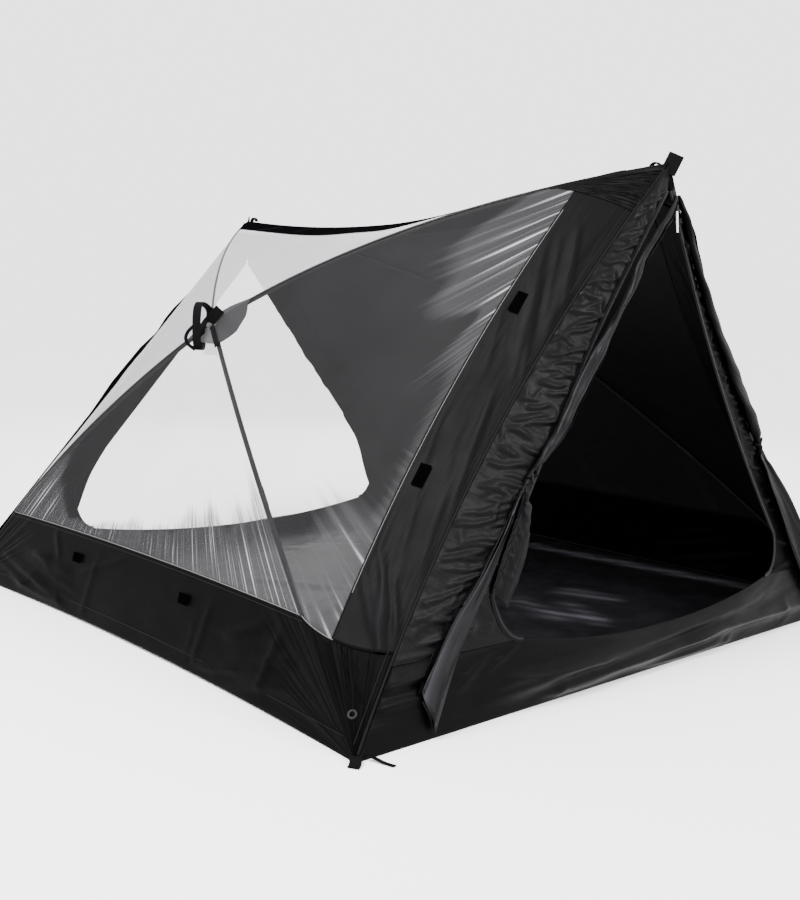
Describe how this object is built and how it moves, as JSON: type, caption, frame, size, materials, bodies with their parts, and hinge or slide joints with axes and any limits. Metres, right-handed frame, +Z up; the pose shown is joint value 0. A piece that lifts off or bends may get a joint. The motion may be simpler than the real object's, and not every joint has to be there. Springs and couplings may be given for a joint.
{
  "type": "ridge tent with side hubs",
  "caption": "Ridge tent held up by a sprung hub and four bowed poles in each side wall, one sheer and one covered, with a tied-back doorway over a low sill at each end.",
  "frame": {"origin": "on the ground, under the middle of the tent's box", "axes": "+Z up; X across the tent; the front doorway faces -Y and the rear doorway faces +Y"},
  "size_m": [2.178, 2.162, 1.3554],
  "materials": {
    "mesh": "sheer woven mesh",
    "cloth": "coated ripstop",
    "floor": "coated, slightly glossy",
    "pole": "glass fibre rod",
    "fitting": "moulded",
    "webbing": "woven strap",
    "cord": "braided"
  },
  "bodies": {
    "root": {"floor": "floor", "front_sill": "floor", "rear_sill": "floor", "front_wall_left": "cloth", "front_wall_right": "cloth", "rear_wall_left": "cloth", "rear_wall_right": "cloth", "ridge_band": "cloth", "left_front_band": "cloth", "right_front_band": "cloth", "left_front_peak_patch": "cloth", "right_front_peak_patch": "cloth", "left_lower_band": "floor", "right_lower_band": "floor", "left_mesh_upper": "mesh", "left_mesh_front": "mesh", "left_mesh_lower": "mesh", "left_mesh_rear": "mesh", "right_cover_upper": "cloth", "right_cover_front": "cloth", "right_cover_lower": "cloth", "right_cover_rear": "cloth", "left_hub": "fitting", "right_hub": "fitting", "left_pole_front_peak": "pole", "left_pole_front_foot": "pole", "left_pole_rear_foot": "pole", "left_pole_rear_peak": "pole", "right_pole_front_peak": "pole", "right_pole_front_foot": "pole", "right_pole_rear_foot": "pole", "right_pole_rear_peak": "pole", "front_flap_left": "cloth", "front_flap_left_lining": "cloth", "front_flap_right": "cloth", "rear_flap_left": "cloth", "rear_flap_right": "cloth", "front_left_toggle": "fitting", "front_right_toggle": "fitting", "rear_left_toggle": "fitting", "rear_right_toggle": "fitting", "front_zip_puller": "cord", "rear_zip_puller": "cord", "left_pull_strap": "webbing", "right_pull_strap": "webbing", "front_peak_tab": "webbing", "rear_peak_tab": "webbing", "front_left_corner_loop": "webbing", "front_right_corner_loop": "webbing", "rear_left_corner_loop": "webbing", "rear_right_corner_loop": "webbing"}
  },
  "joints": []
}
